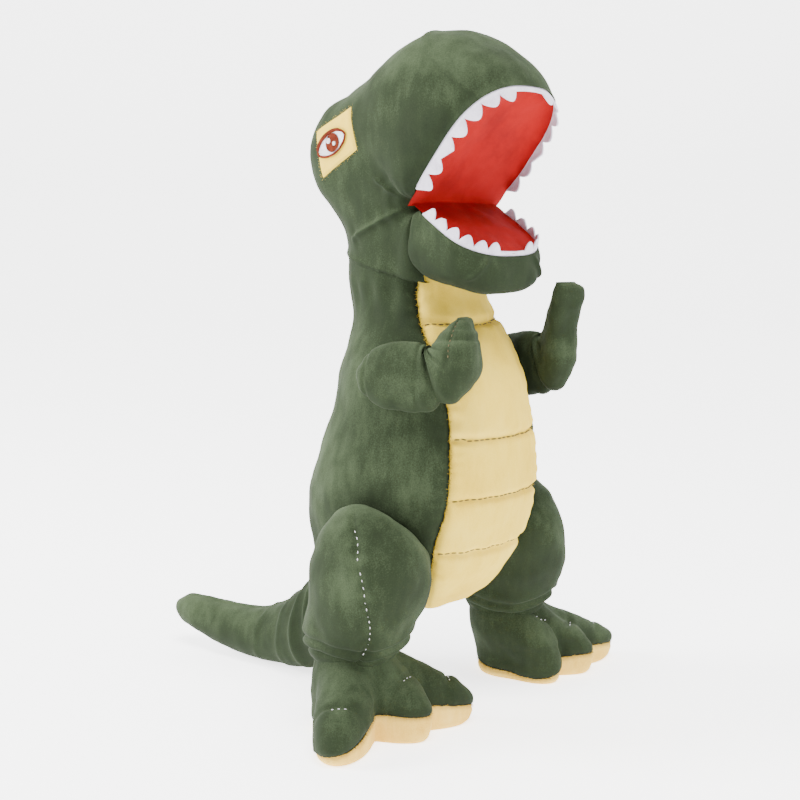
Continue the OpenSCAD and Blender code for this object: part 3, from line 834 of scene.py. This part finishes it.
# Direction and height of the seam between sole and upper
SOLE_EDGE = {
    "right": [
        [-180, 8], [-110, 5], [-75, 3], [-50, 8], [-28, 16], [14, 17], [36, 16], [54, 10], [85, 6], [180, 8],
    ],
    "left": [
        [-180, 8], [-70, 5], [-20, 4], [2, 9], [16, 14], [34, 14], [50, 14], [68, 10], [95, 6], [180, 8],
    ],
}


def foot_shape(word, angle, height):
    """Reach of a foot from its middle at a direction and a height."""
    toe_share, heel_share = smooth(FOOT, height, 1), smooth(FOOT, height, 2)
    lobes = []
    for direction, length, wide in TOES[word]:
        off = (angle - direction + 180) % 360 - 180
        lobes.append((length - HEEL_R) * toe_share * np.exp(-((off / wide) ** 2)))
    lobes = np.array(lobes)
    sharp = 0.35 - 0.24 * step(height, 10, 30)  # the webs between the toes fill in towards the ankle
    soft = np.log(np.exp(lobes * sharp).sum(0)) / sharp
    soft -= np.log(len(lobes)) / sharp * np.exp(-lobes.max(0) / 9)
    return HEEL_R * heel_share + np.maximum(soft, lobes.max(0))


def foot(word, seed):
    middle = FOOT_MIDDLE[word]
    angle = np.linspace(-180, 180, 289)[:-1][None]
    a = np.radians(angle)
    edge = smooth(SOLE_EDGE[word], angle, 1)

    def surface(height):
        r = foot_shape(word, angle, height)
        over = FOOT_LEAN[word] * step(height, 12, 50)
        return np.stack([middle[0] + over + r * np.sin(a), middle[1] - r * np.cos(a), height + 0 * a], -1)

    share = np.linspace(0, 1, 80)[:, None]
    height = edge + (56 - edge) * (0.35 * share + 0.65 * share**1.3)
    top = surface(height)
    push = 0.9 * lumps(top, 28, seed) + 0.4 * lumps(top, 10, seed + 1)
    flat = top[..., :2] - middle
    for direction, length, wide in TOES[word]:
        d = np.array([math.sin(math.radians(direction)), -math.cos(math.radians(direction))])
        ahead_of = flat @ d
        beside = flat @ np.array([-d[1], d[0]])
        ring_at = length - 17 - 0.02 * beside**2
        crease = -1.8 * bell(ahead_of - ring_at, 1.7) + 0.8 * bell(ahead_of - ring_at - 5, 3.5)
        push += crease * bell(beside, 15)
    seam_off = height - edge
    push += -1.6 * bell(seam_off, 1.6) + 0.6 * bell(seam_off - 6, 4)
    push += 0.35 * np.sin(angle * 1.9) * bell(seam_off, 5)
    push *= step(1 - share, 0, 0.1)
    top = pushed(top, push)
    peak = top[-1].mean(0)
    top = np.concatenate([top, [peak + (top[-1] - peak) * f for f in (0.6, 0.1)]])
    obj = grid(f"foot_{word}", top, GREEN, ring=True)
    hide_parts(f"foot_{word}_upper", f"foot_{word}_stuffing")

    share = np.linspace(0, 1, 26)[:, None]
    height = edge * share
    side = surface(height)
    push = (0.5 * lumps(side, 24, seed + 3) - 1.6 * bell(edge - height, 1.6)) * step(share, 0, 0.3)
    side = pushed(side, push)
    floor = [side[0] + (np.array([*middle, 0]) - side[0]) * f for f in (0.98, 0.7, 0.4, 0.15)]
    bottom = np.concatenate([np.array(floor), side])
    sole = grid(f"sole_{word}", bottom, SOLE, ring=True)
    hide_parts(f"foot_{word}_sole")
    rim = np.vstack([side[-1], side[-1][:1]])
    line, _ = spread(rim, 0.35)
    outward = line - (*middle, 0)
    outward[:, 2] = 0
    outward /= np.linalg.norm(outward, axis=1, keepdims=True)
    pile = fringe(f"sole_{word}_pile", line, outward, 2.4, SOLE)
    green = fringe(f"foot_{word}_pile", line + (0, 0, 0.8), outward, 2.6, GREEN)
    spots, along_it = [], []
    for direction, length, wide in TOES[word]:
        d = np.array([math.sin(math.radians(direction)), -math.cos(math.radians(direction)), 0])
        across = np.array([-d[1], d[0], 0])
        tree = tree_of(obj)
        for off in (-3.5, 0.5, 4.5):
            hit = seen_on(tree, np.array([*middle, 90]) + d * (length - 17) + across * off, (0, 0, -1))
            if hit:
                spots.append(hit[0] + hit[1] * 0.1)
                along_it.append(across)
    dots = threads(f"toe_{word}_stitches", spots, along_it, 1.5, 0.32, WHITE)
    for piece in (obj, sole, pile, green, dots):
        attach(piece, f"leg_{word}")


foot("right", 31)
foot("left", 37)

# ---- tail ----

# Y, height of the underside, height of the top, half width, X of the middle
TAIL = [
    [8, 92, 124, 16, 0], [22, 78, 116, 24, 0], [34, 61, 108, 30, 0], [44, 43, 100, 33, 0],
    [54, 27, 90, 34, -1], [68, 9, 77, 33, -2], [86, 1.5, 61, 28, -5], [106, 0.8, 47, 23, -8],
    [128, 0.8, 40, 20, -11], [150, 2.5, 38, 18, -14],
    [172, 8, 39, 15, -17], [194, 14, 39, 12, -20], [206, 18, 37, 8.5, -22], [212, 22, 33.5, 4.5, -23],
]
lengthwise = np.concatenate([np.linspace(8, 196, 140), np.linspace(196, 212, 24)[1:]])[:, None]
low, high = smooth(TAIL, lengthwise, 1), smooth(TAIL, lengthwise, 2)
half, mid_x = smooth(TAIL, lengthwise, 3), smooth(TAIL, lengthwise, 4)
t = np.linspace(0, math.tau, 121)[:-1][None]
tail_z = (low + high) / 2 - (high - low) / 2 * power(np.cos(t), 0.95)
tail_points = np.stack([mid_x + half * power(np.sin(t), 0.95), lengthwise + 0 * t, tail_z], -1)
height = 0.9 * lumps(tail_points, 30, 41) + 0.4 * lumps(tail_points, 11, 42)
for place, drop in ((60, 1.8), (74, 1.4), (92, 0.9), (118, 0.6)):
    ring_at = place + 3 * np.cos(t)
    height += -drop * bell(lengthwise - ring_at, 2.4) + 0.5 * drop * bell(lengthwise - ring_at - 6, 4)
height += -1.0 * bell((t - math.pi) * (high - low) / 2, 1.6)
height *= step(lengthwise, 8, 30) * step(212 - lengthwise, 0, 12)
under = step(tail_points[..., 2], 1, 8)
tail_points = pushed(tail_points, height * (0.2 + 0.8 * under))
tail_points[..., 2] = np.maximum(tail_points[..., 2], 0.4)
tail = grid("tail", tail_points, GREEN, ring=True, capped=True)
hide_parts("tail_skin", "tail_stuffing")
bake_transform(tail)

# ---- studio ----

AZIMUTH = math.radians(-48)  # the camera's bearing, which the floor is square to


UNDER_SOLES = 0.0002  # the floor lies this far under the toy, in metres


def floor_stage():
    """A pale floor that curves up behind the toy."""
    profile = [(-3.0, 0), (1.6, 0), (2.3, 0.08), (2.8, 0.4), (3.0, 1.0), (3.0, 3.5)]
    turn = -AZIMUTH
    vertices, faces = [], []
    c, s = math.cos(turn), math.sin(turn)
    for back, height in profile:
        for across in (-4, 4):
            vertices.append((across * c + back * s, back * c - across * s, height - UNDER_SOLES))
    for i in range(len(profile) - 1):
        faces.append((2 * i, 2 * i + 1, 2 * i + 3, 2 * i + 2))
    data = bpy.data.meshes.new("floor")
    data.from_pydata(vertices, [], faces)
    data.shade_smooth()
    material = bpy.data.materials.new("floor")
    material.use_nodes = True
    inputs = material.node_tree.nodes["Principled BSDF"].inputs
    inputs["Base Color"].default_value = (0.93, 0.93, 0.93, 1)
    inputs["Roughness"].default_value = 0.9
    inputs["Emission Color"].default_value = (1, 1, 1, 1)
    inputs["Emission Strength"].default_value = 2.6
    data.materials.append(material)
    obj = bpy.data.objects.new("floor", data)
    bpy.context.collection.objects.link(obj)
    return obj


def light(name, place, size, watts, aim=(0, 0, 0.2)):
    data = bpy.data.lights.new(name, "AREA")
    data.size = size
    data.energy = watts
    obj = bpy.data.objects.new(name, data)
    obj.location = place
    obj.rotation_euler = (Vector(aim) - Vector(place)).to_track_quat("-Z", "Y").to_euler()
    bpy.context.collection.objects.link(obj)
    return obj


floor_stage()
light("key", (-1.5, 1.5, 1.2), 0.9, 110)
light("fill", (0.9, -1.8, 0.8), 1.2, 20)
light("top", (-0.55, -0.6, 2.2), 1.2, 105)
world = bpy.data.worlds.new("studio")
world.use_nodes = True
world.node_tree.nodes["Background"].inputs["Color"].default_value = (1, 1, 1, 1)
world.node_tree.nodes["Background"].inputs["Strength"].default_value = 0.5
bpy.context.scene.world = world

# ---- camera ----

DISTANCE, CAMERA_HEIGHT, LOOK_HEIGHT = 1.0, 0.335, 0.207
camera = bpy.data.objects.new("camera", bpy.data.cameras.new("camera"))
camera.data.lens = 66
camera.data.sensor_width = 36
camera.location = (
    AXIS_X + DISTANCE * math.sin(AZIMUTH),
    AXIS_Y - DISTANCE * math.cos(AZIMUTH),
    CAMERA_HEIGHT,
)
aim = Vector((AXIS_X, AXIS_Y, LOOK_HEIGHT)) - camera.location
camera.rotation_euler = aim.to_track_quat("-Z", "Y").to_euler()
bpy.context.collection.objects.link(camera)
bpy.context.scene.camera = camera
